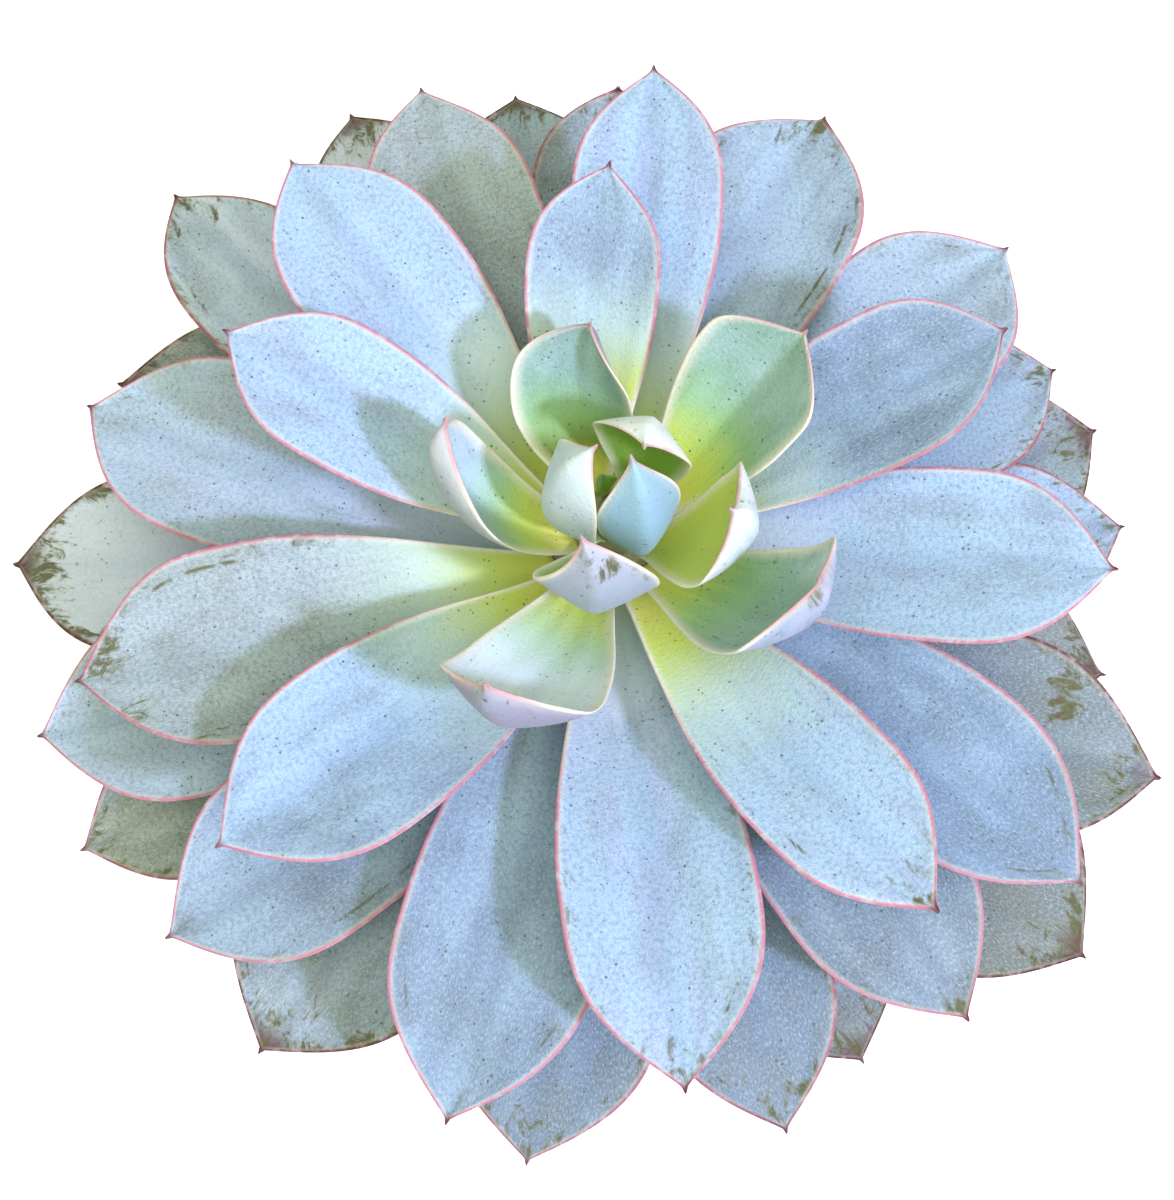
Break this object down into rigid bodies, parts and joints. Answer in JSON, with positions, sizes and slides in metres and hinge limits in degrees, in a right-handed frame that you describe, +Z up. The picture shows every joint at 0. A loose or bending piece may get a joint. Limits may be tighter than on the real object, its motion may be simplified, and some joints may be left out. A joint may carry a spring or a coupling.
{
  "type": "potted succulent",
  "caption": "Echeveria cante: a wide flat rosette of powdery blue-grey pointed leaves with pink edges, green at the heart, on a short stem in a plain clay pot.",
  "frame": {"origin": "centre of the pot's foot, on the face it rests on", "axes": "+Z up along the pot's axis, +X to the right and +Y to the top of the view from above"},
  "size_m": [0.2834, 0.2882, 0.2293],
  "materials": {
    "pot": "plain unglazed clay",
    "soil": "loose gritty potting soil",
    "stem": "pale scarred stem",
    "heart_leaf": "fleshy leaf with a powdery bloom",
    "inner_leaf": "fleshy leaf with a powdery bloom",
    "middle_leaf": "fleshy leaf with a powdery bloom",
    "outer_leaf": "fleshy leaf with a powdery bloom",
    "oldest_leaf": "fleshy leaf, worn and spotted"
  },
  "bodies": {
    "root": {"pot": "pot", "soil": "soil", "stem": "stem", "heart_leaf_01": "heart_leaf", "heart_leaf_02": "heart_leaf", "heart_leaf_03": "heart_leaf", "heart_leaf_04": "heart_leaf", "heart_leaf_05": "heart_leaf", "inner_leaf_01": "inner_leaf", "inner_leaf_02": "inner_leaf", "inner_leaf_03": "inner_leaf", "inner_leaf_04": "inner_leaf", "inner_leaf_05": "inner_leaf", "inner_leaf_06": "inner_leaf", "middle_leaf_01": "middle_leaf", "middle_leaf_02": "middle_leaf", "middle_leaf_03": "middle_leaf", "middle_leaf_04": "middle_leaf", "middle_leaf_05": "middle_leaf", "middle_leaf_06": "middle_leaf", "middle_leaf_07": "middle_leaf", "middle_leaf_08": "middle_leaf", "middle_leaf_09": "middle_leaf", "middle_leaf_10": "middle_leaf", "outer_leaf_01": "outer_leaf", "outer_leaf_02": "outer_leaf", "outer_leaf_03": "outer_leaf", "outer_leaf_04": "outer_leaf", "outer_leaf_05": "outer_leaf", "outer_leaf_06": "outer_leaf", "outer_leaf_07": "outer_leaf", "outer_leaf_08": "outer_leaf", "outer_leaf_09": "outer_leaf", "outer_leaf_10": "outer_leaf", "oldest_leaf_01": "oldest_leaf", "oldest_leaf_02": "oldest_leaf", "oldest_leaf_03": "oldest_leaf", "oldest_leaf_04": "oldest_leaf", "oldest_leaf_05": "oldest_leaf", "oldest_leaf_06": "oldest_leaf", "oldest_leaf_07": "oldest_leaf", "oldest_leaf_08": "oldest_leaf", "oldest_leaf_09": "oldest_leaf", "oldest_leaf_10": "oldest_leaf", "oldest_leaf_11": "oldest_leaf", "oldest_leaf_12": "oldest_leaf", "oldest_leaf_13": "oldest_leaf", "oldest_leaf_14": "oldest_leaf", "oldest_leaf_15": "oldest_leaf", "oldest_leaf_16": "oldest_leaf", "oldest_leaf_17": "oldest_leaf"}
  },
  "joints": []
}
